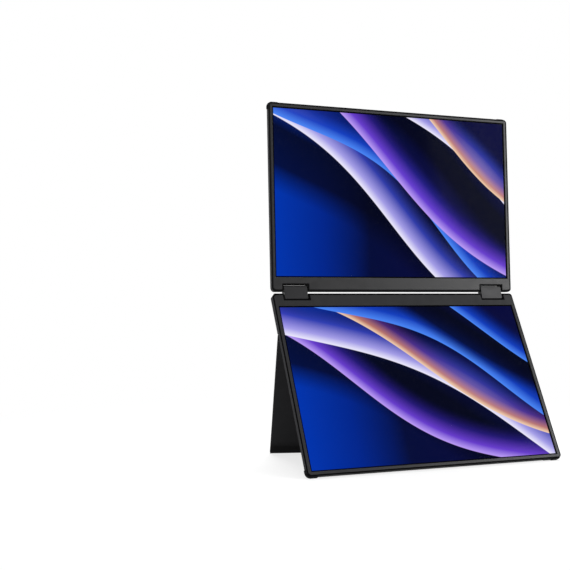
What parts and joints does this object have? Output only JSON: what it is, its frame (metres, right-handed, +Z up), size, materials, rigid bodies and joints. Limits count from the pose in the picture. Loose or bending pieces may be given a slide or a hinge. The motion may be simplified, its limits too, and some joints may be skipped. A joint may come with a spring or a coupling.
{
  "type": "dual portable monitor",
  "caption": "Folding portable monitor: stacked flat screens on a geared double hinge, with a slanted stand flap, corner bumpers, edge sockets, buttons and a tripod screw socket.",
  "frame": {"origin": "on the table, under the middle of the bounding box", "axes": "+Z up, -Y out of the screens towards the viewer, +X to the viewer's right, towards the sockets"},
  "size_m": [0.3156, 0.1621, 0.4025],
  "materials": {
    "cover": "fine matte",
    "bezel": "matte",
    "glass": "polished",
    "panel": "gloss",
    "sheet": "plain",
    "board": "lacquered",
    "steel": "ground",
    "hinge": "satin",
    "stand": "dark anodised",
    "rubber": "matte",
    "socket": "plated",
    "black": "matte",
    "button": "satin"
  },
  "bodies": {
    "lower_unit": {"lower_rear_cover": "cover", "lower_bezel": "bezel", "lower_cover_glass": "glass", "lower_display_panel": "panel", "lower_backplate": "sheet", "lower_cover_screws": "steel", "lower_hinge_screws": "steel", "lower_left_leaf": "steel", "lower_right_leaf": "steel", "lower_left_shaft": "steel", "lower_right_shaft": "steel", "lower_left_bumper": "rubber", "lower_right_bumper": "rubber", "main_board": "board", "oval_socket_1": "socket", "oval_socket_2": "socket", "oval_socket_3": "socket", "video_socket": "socket", "sound_socket": "black", "button_switches": "black", "tripod_insert": "steel", "stand_knuckles": "hinge", "stand_pins": "steel"},
    "hinge_block": {"left_hinge_block": "hinge", "left_hinge_cap": "hinge", "left_friction_plates": "steel", "left_idler_pins": "steel", "right_hinge_block": "hinge", "right_hinge_cap": "hinge", "right_friction_plates": "steel", "right_idler_pins": "steel"},
    "upper_unit": {"upper_rear_cover": "cover", "upper_bezel": "bezel", "upper_cover_glass": "glass", "upper_display_panel": "panel", "upper_backplate": "sheet", "upper_cover_screws": "steel", "upper_hinge_screws": "steel", "upper_left_leaf": "steel", "upper_right_leaf": "steel", "upper_left_shaft": "steel", "upper_right_shaft": "steel", "upper_left_bumper": "rubber", "upper_right_bumper": "rubber", "driver_board": "board"},
    "lower_idlers": {"left_lower_idler": "steel", "right_lower_idler": "steel"},
    "upper_idlers": {"left_upper_idler": "steel", "right_upper_idler": "steel"},
    "stand": {"stand_plate": "stand", "stand_foot": "rubber"},
    "power_button": {"power_button": "button"},
    "menu_button": {"menu_button": "button"},
    "input_button": {"input_button": "button"}
  },
  "joints": [
    {"name": "upper_hinge", "type": "hinge", "parent": "hinge_block", "child": "upper_unit", "pos_m": [0, 0.02697, 0.19323], "axis": [1, 0, 0], "range_deg": [-67.6, 77.4]},
    {"name": "lower_hinge", "type": "hinge", "parent": "lower_unit", "child": "hinge_block", "pos_m": [0, 0.02426, 0.18402], "axis": [1, 0, 0], "range_deg": [-67.6, 77.4]},
    {"name": "lower_idler_spin", "type": "hinge", "parent": "hinge_block", "child": "lower_idlers", "pos_m": [0, 0.02516, 0.18709], "axis": [1, 0, 0], "range_deg": [-67.6, 77.4]},
    {"name": "upper_idler_spin", "type": "hinge", "parent": "hinge_block", "child": "upper_idlers", "pos_m": [0, 0.02606, 0.19016], "axis": [1, 0, 0], "range_deg": [-77.4, 67.6]},
    {"name": "stand_hinge", "type": "hinge", "parent": "lower_unit", "child": "stand", "pos_m": [-0.1568, 0.00494, 0.14257], "axis": [0.9646, -0.1279, -0.2308], "range_deg": [-59.77, 15]},
    {"name": "power_button_press", "type": "slide", "parent": "lower_unit", "child": "power_button", "axis": [-1, 0, 0], "range_m": [0, 0.00035], "stiffness_N_per_m": 600, "springref_m": -0.0005},
    {"name": "menu_button_press", "type": "slide", "parent": "lower_unit", "child": "menu_button", "axis": [-1, 0, 0], "range_m": [0, 0.00035], "stiffness_N_per_m": 600, "springref_m": -0.0005},
    {"name": "input_button_press", "type": "slide", "parent": "lower_unit", "child": "input_button", "axis": [-1, 0, 0], "range_m": [0, 0.00035], "stiffness_N_per_m": 600, "springref_m": -0.0005}
  ],
  "couplings": [
    {"joint": "lower_hinge", "follows": "upper_hinge", "ratio": 1},
    {"joint": "lower_idler_spin", "follows": "upper_hinge", "ratio": 1},
    {"joint": "upper_idler_spin", "follows": "upper_hinge", "ratio": -1}
  ]
}
